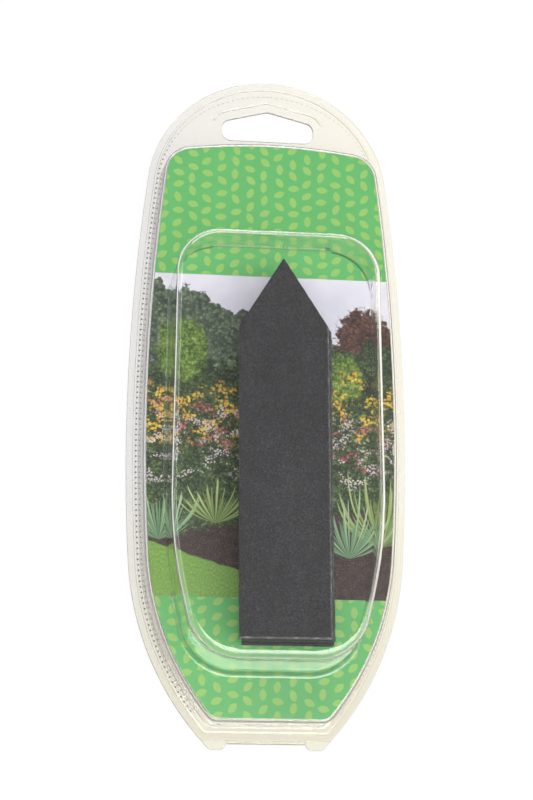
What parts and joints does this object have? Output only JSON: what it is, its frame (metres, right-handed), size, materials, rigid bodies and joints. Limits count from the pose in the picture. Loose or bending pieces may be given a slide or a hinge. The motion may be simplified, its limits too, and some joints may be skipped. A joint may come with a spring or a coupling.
{
  "type": "plant label pack",
  "caption": "Hanging clear clamshell pack of pointed slate plant labels: hinged lid with a deep bubble, nested rear tray, printed insert card and a loose stack of labels.",
  "frame": {"origin": "on the table under the middle of the pack's length and width, pack lying on its back", "axes": "+Z out of the pack's front, +Y along the pack towards its hang slot, +X to the right seen from the front"},
  "size_m": [0.098, 0.241, 0.0365],
  "materials": {
    "clear_sheet": "clear thermoformed plastic sheet, glossy, faintly warm",
    "printed_card": "smooth printed card, green with paler leaves and a planted border",
    "slate": "riven dark grey slate with paler sawn edges"
  },
  "bodies": {
    "tray": {"rear_shell": "clear_sheet", "insert_card": "printed_card", "fold_hinge": "clear_sheet"},
    "lid": {"front_shell": "clear_sheet"},
    "slate_label_1": {"slate_label_1": "slate"},
    "slate_label_2": {"slate_label_2": "slate"},
    "slate_label_3": {"slate_label_3": "slate"},
    "slate_label_4": {"slate_label_4": "slate"},
    "slate_label_5": {"slate_label_5": "slate"}
  },
  "joints": [
    {"name": "lid_hinge", "type": "hinge", "parent": "tray", "child": "lid", "pos_m": [0, -0.1182, 0.0005], "axis": [1, 0, 0], "range_deg": [0, 117], "deforming": ["fold_hinge"]},
    {"name": "slate_label_1_slide", "type": "slide", "parent": "tray", "child": "slate_label_1", "axis": [0, 1, 0], "range_m": [-0.003, 0.005]},
    {"name": "slate_label_2_slide", "type": "slide", "parent": "tray", "child": "slate_label_2", "axis": [0, 1, 0], "range_m": [-0.003, 0.005]},
    {"name": "slate_label_3_slide", "type": "slide", "parent": "tray", "child": "slate_label_3", "axis": [0, 1, 0], "range_m": [-0.003, 0.005]},
    {"name": "slate_label_4_slide", "type": "slide", "parent": "tray", "child": "slate_label_4", "axis": [0, 1, 0], "range_m": [-0.003, 0.005]},
    {"name": "slate_label_5_slide", "type": "slide", "parent": "tray", "child": "slate_label_5", "axis": [0, 1, 0], "range_m": [-0.003, 0.005]}
  ]
}
